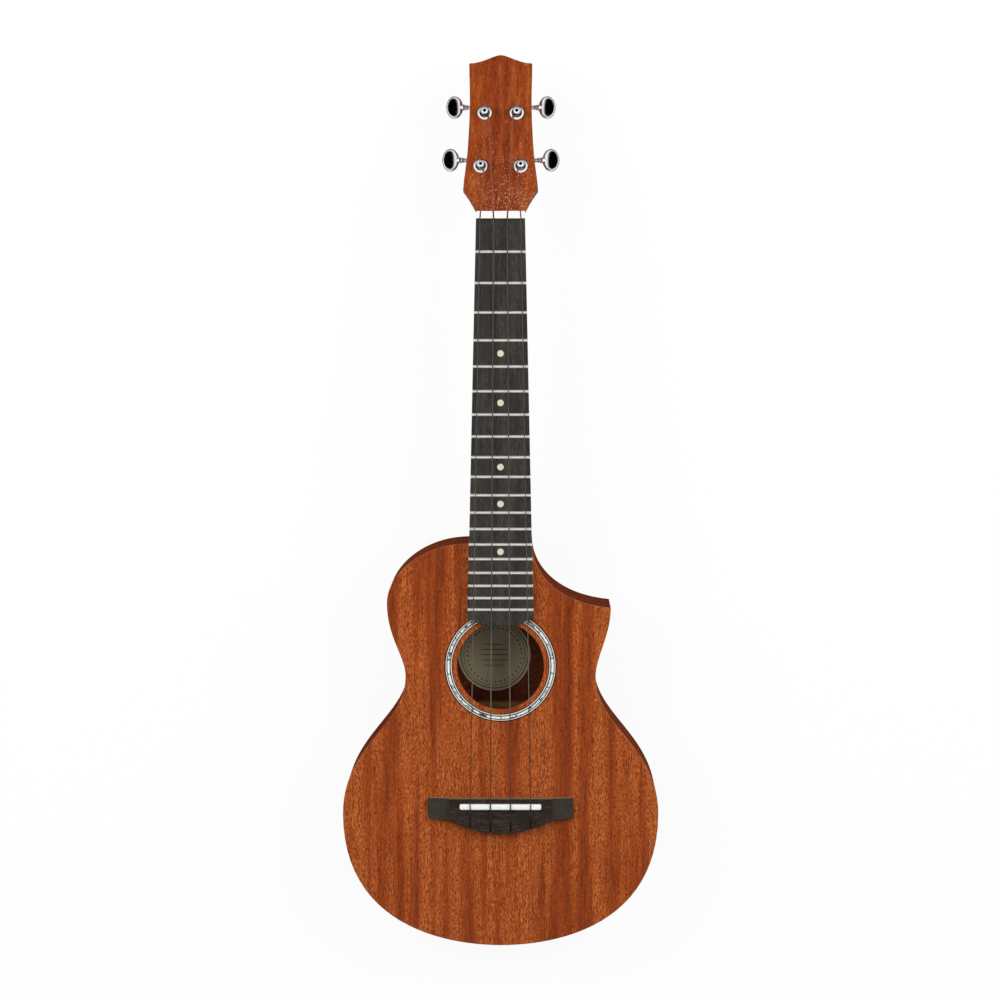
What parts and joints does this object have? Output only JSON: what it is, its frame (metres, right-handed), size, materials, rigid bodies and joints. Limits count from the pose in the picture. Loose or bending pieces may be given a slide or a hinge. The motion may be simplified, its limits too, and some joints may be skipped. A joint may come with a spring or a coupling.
{
  "type": "tenor ukulele",
  "caption": "Small four-string fretted instrument with a flat-backed hollow body, a sharp cutaway, a round soundhole and geared tuners.",
  "frame": {"origin": "under the middle of the instrument's bounding box, in the plane of the outer face of the back", "axes": "+Z out of the soundboard, +Y towards the headstock, +X towards the cutaway (treble) side"},
  "size_m": [0.2346, 0.6598, 0.0786],
  "materials": {
    "mahogany_top": "satin open-pored mahogany, ribbon stripe",
    "mahogany_side": "satin mahogany",
    "neck_wood": "satin mahogany",
    "inner_wood": "bare sanded wood",
    "dark_hardwood": "oiled dark hardwood",
    "white_bone": "polished white bone or its plastic like",
    "abalone": "pale abalone band between black and white lines",
    "fret_wire": "polished nickel silver",
    "chrome": "chrome plate",
    "string": "smooth dark monofilament"
  },
  "bodies": {
    "instrument": {"back_brace": "inner_wood", "back_plate": "mahogany_side", "bridge": "dark_hardwood", "bridge_plate": "inner_wood", "fret_01": "fret_wire", "fret_02": "fret_wire", "fret_03": "fret_wire", "fret_04": "fret_wire", "fret_05": "fret_wire", "fret_06": "fret_wire", "fret_07": "fret_wire", "fret_08": "fret_wire", "fret_09": "fret_wire", "fret_10": "fret_wire", "fret_11": "fret_wire", "fret_12": "fret_wire", "fret_13": "fret_wire", "fret_14": "fret_wire", "fret_15": "fret_wire", "fret_16": "fret_wire", "fret_17": "fret_wire", "fret_18": "fret_wire", "fret_19": "fret_wire", "fretboard": "dark_hardwood", "lining_back_bass": "inner_wood", "lining_back_treble": "inner_wood", "lining_top_bass": "inner_wood", "lining_top_treble": "inner_wood", "neck": "neck_wood", "neck_block": "inner_wood", "nut": "white_bone", "rosette": "abalone", "saddle": "white_bone", "side_bass": "mahogany_side", "side_cutaway": "mahogany_side", "side_treble": "mahogany_side", "soundboard": "mahogany_top", "soundboard_brace_lower": "inner_wood", "soundboard_brace_upper": "inner_wood", "string_1": "string", "string_2": "string", "string_3": "string", "string_4": "string", "tail_block": "inner_wood", "tuner_bushing_bass_lower": "chrome", "tuner_bushing_bass_upper": "chrome", "tuner_bushing_treble_lower": "chrome", "tuner_bushing_treble_upper": "chrome", "tuner_plate_bass_lower": "chrome", "tuner_plate_bass_upper": "chrome", "tuner_plate_treble_lower": "chrome", "tuner_plate_treble_upper": "chrome"},
    "key_bass_lower": {"tuner_key_bass_lower": "chrome"},
    "post_bass_lower": {"tuner_post_bass_lower": "chrome"},
    "key_bass_upper": {"tuner_key_bass_upper": "chrome"},
    "post_bass_upper": {"tuner_post_bass_upper": "chrome"},
    "key_treble_upper": {"tuner_key_treble_upper": "chrome"},
    "post_treble_upper": {"tuner_post_treble_upper": "chrome"},
    "key_treble_lower": {"tuner_key_treble_lower": "chrome"},
    "post_treble_lower": {"tuner_post_treble_lower": "chrome"}
  },
  "joints": [
    {"name": "key_bass_lower_turn", "type": "hinge", "parent": "instrument", "child": "key_bass_lower", "pos_m": [-0.01465, 0.25331, 0.04397], "axis": [-1, 0, 0], "continuous": true},
    {"name": "post_bass_lower_turn", "type": "hinge", "parent": "instrument", "child": "post_bass_lower", "pos_m": [-0.01465, 0.2489, 0.06216], "axis": [0, 0.1736, 0.9848], "continuous": true},
    {"name": "key_bass_upper_turn", "type": "hinge", "parent": "instrument", "child": "key_bass_upper", "pos_m": [-0.0118, 0.29231, 0.0371], "axis": [-1, 0, 0], "continuous": true},
    {"name": "post_bass_upper_turn", "type": "hinge", "parent": "instrument", "child": "post_bass_upper", "pos_m": [-0.0118, 0.2879, 0.05529], "axis": [0, 0.1736, 0.9848], "continuous": true},
    {"name": "key_treble_upper_turn", "type": "hinge", "parent": "instrument", "child": "key_treble_upper", "pos_m": [0.0118, 0.29231, 0.0371], "axis": [1, 0, 0], "continuous": true},
    {"name": "post_treble_upper_turn", "type": "hinge", "parent": "instrument", "child": "post_treble_upper", "pos_m": [0.0118, 0.2879, 0.05529], "axis": [0, 0.1736, 0.9848], "continuous": true},
    {"name": "key_treble_lower_turn", "type": "hinge", "parent": "instrument", "child": "key_treble_lower", "pos_m": [0.01465, 0.25331, 0.04397], "axis": [1, 0, 0], "continuous": true},
    {"name": "post_treble_lower_turn", "type": "hinge", "parent": "instrument", "child": "post_treble_lower", "pos_m": [0.01465, 0.2489, 0.06216], "axis": [0, 0.1736, 0.9848], "continuous": true}
  ],
  "couplings": [
    {"joint": "post_bass_lower_turn", "follows": "key_bass_lower_turn", "ratio": 0.071429},
    {"joint": "post_bass_upper_turn", "follows": "key_bass_upper_turn", "ratio": 0.071429},
    {"joint": "post_treble_upper_turn", "follows": "key_treble_upper_turn", "ratio": 0.071429},
    {"joint": "post_treble_lower_turn", "follows": "key_treble_lower_turn", "ratio": 0.071429}
  ]
}
